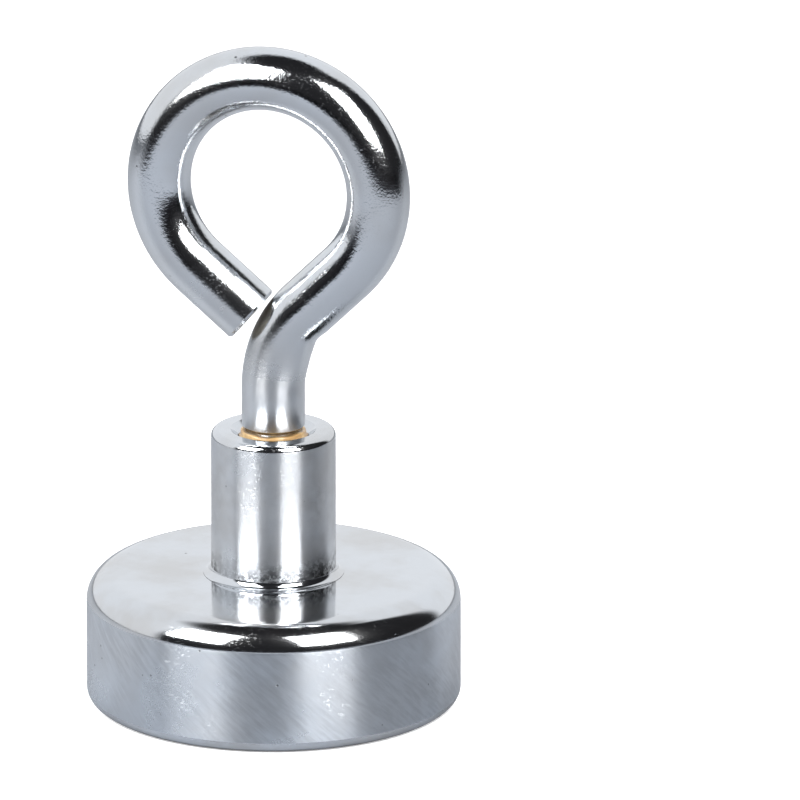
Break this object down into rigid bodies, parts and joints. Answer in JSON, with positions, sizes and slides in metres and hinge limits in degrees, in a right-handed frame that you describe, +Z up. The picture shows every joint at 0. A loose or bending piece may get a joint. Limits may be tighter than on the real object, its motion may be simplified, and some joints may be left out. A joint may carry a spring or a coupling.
{
  "type": "magnet fishing magnet",
  "caption": "Round pot magnet with a threaded boss on its back and a screw-in eyebolt for a rope, used to pull iron finds out of water.",
  "frame": {"origin": "centre of the pulling face, on the surface the magnet stands on", "axes": "+Z up along the boss and the eyebolt's thread, away from the pulling face; the eye lies in the XZ plane and its free end is on the -X side; +Y runs through the eye"},
  "size_m": [0.048, 0.048, 0.0866],
  "materials": {
    "pot_cup": "bright nickel plate on steel, tumbled side and mirror-like back",
    "threaded_boss": "bright nickel plate on turned steel",
    "magnet_disc": "satin nickel plate on sintered neodymium magnet",
    "magnet_glue": "thin cured adhesive",
    "potting_resin": "glossy cast resin",
    "threadlocker_ring": "set threadlocker, slightly rough",
    "eyebolt": "bright nickel plate on bent steel rod"
  },
  "bodies": {
    "magnet_base": {"pot_cup": "pot_cup", "threaded_boss": "threaded_boss", "magnet_disc": "magnet_disc", "magnet_glue": "magnet_glue", "potting_resin": "potting_resin"},
    "thread_carrier": {"threadlocker_ring": "threadlocker_ring"},
    "eyebolt_body": {"eyebolt": "eyebolt"}
  },
  "joints": [
    {"name": "eyebolt_rise", "type": "slide", "parent": "magnet_base", "child": "thread_carrier", "axis": [0, 0, 1], "range_m": [0, 0.0126]},
    {"name": "eyebolt_turn", "type": "hinge", "parent": "thread_carrier", "child": "eyebolt_body", "pos_m": [0, 0, 0.036], "axis": [0, 0, 1], "range_deg": [0, 3600]}
  ],
  "couplings": [
    {"joint": "eyebolt_rise", "follows": "eyebolt_turn", "m_per_rad": 0.00019894}
  ]
}
